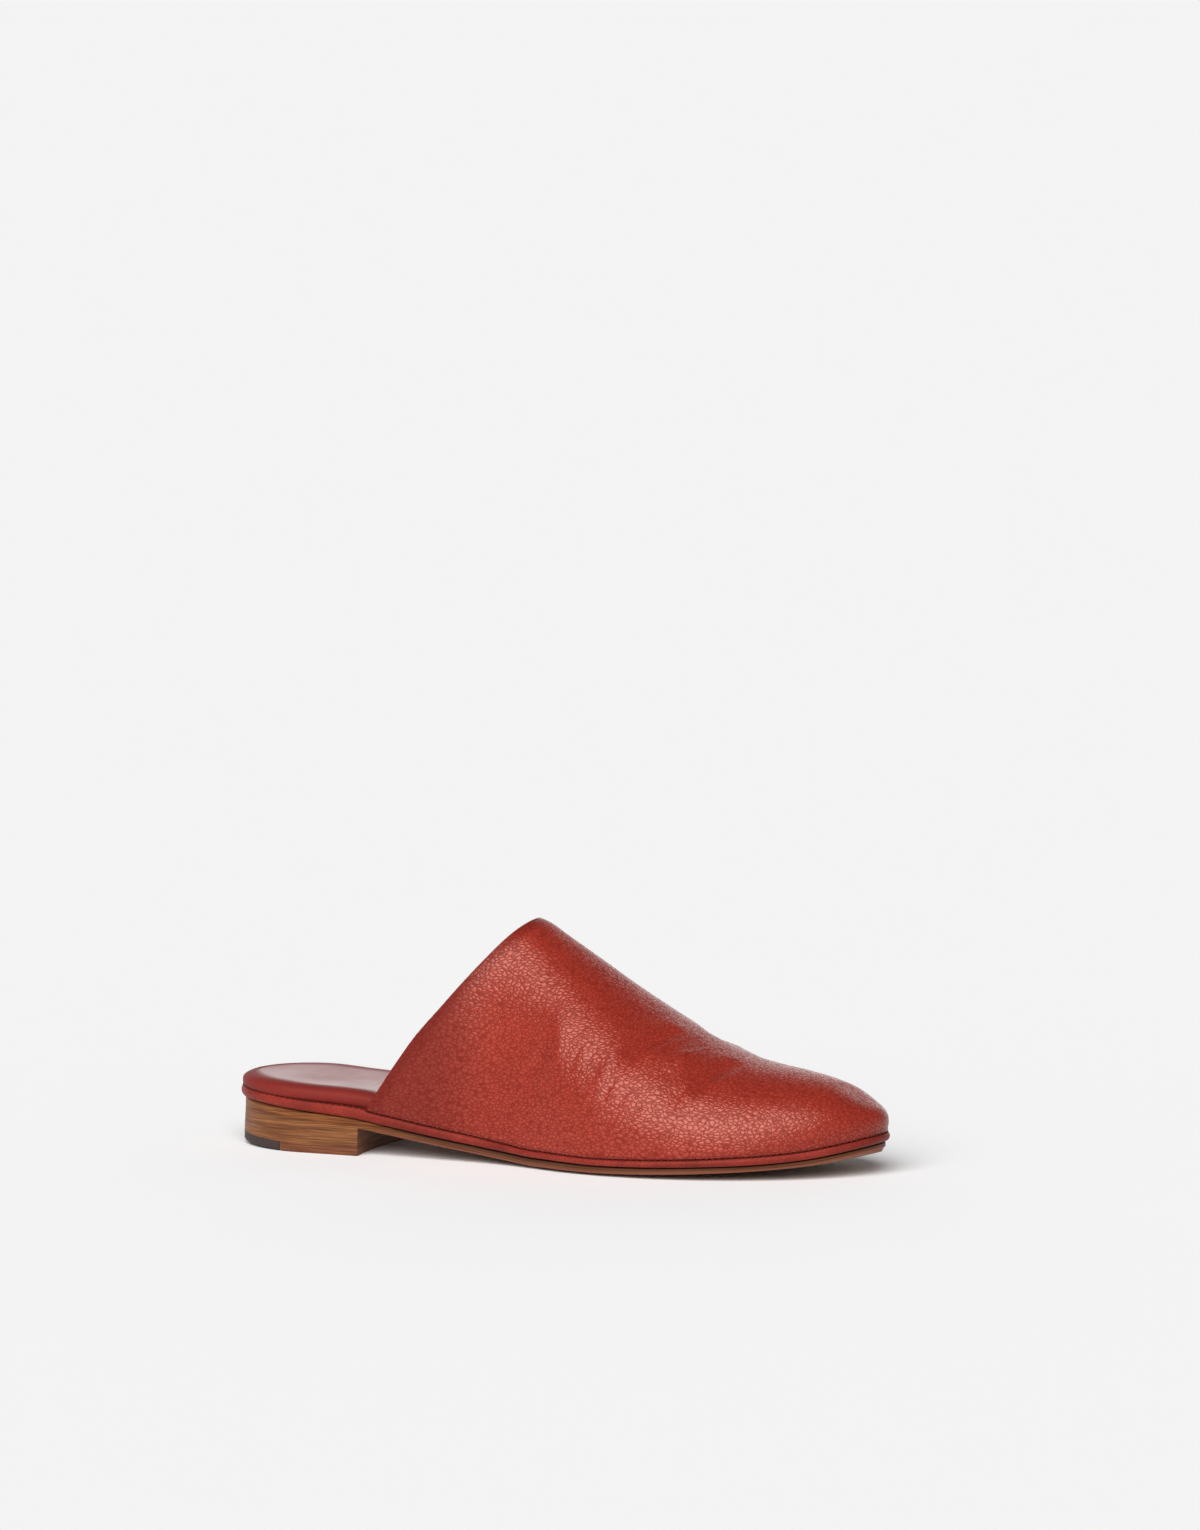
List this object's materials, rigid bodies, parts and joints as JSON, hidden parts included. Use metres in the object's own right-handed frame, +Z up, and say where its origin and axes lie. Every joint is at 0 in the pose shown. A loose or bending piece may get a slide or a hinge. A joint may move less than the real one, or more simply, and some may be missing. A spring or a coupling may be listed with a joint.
{
  "type": "babouche slipper",
  "caption": "Backless closed-toe leather slipper with a padded insole, a rand round the sole and a low stacked heel.",
  "frame": {"origin": "middle of the box round the shoe, on the floor", "axes": "+X from the heel to the toe, +Y to the inner side of the foot, +Z up from the floor"},
  "size_m": [0.2566, 0.0858, 0.0891],
  "materials": {
    "upper_leather": "grained red leather, soft sheen",
    "insole_leather": "smooth red leather",
    "rand_leather": "smooth red leather, satin",
    "sole_leather": "dyed sole leather",
    "stacked_leather": "stacked leather, streaked brown",
    "toplift_rubber": "matt dark brown"
  },
  "bodies": {
    "root": {"upper": "upper_leather", "insole": "insole_leather", "midsole": "rand_leather", "outsole": "sole_leather", "heel_block": "stacked_leather", "toplift_leather": "stacked_leather", "toplift_rubber": "toplift_rubber"}
  },
  "joints": []
}
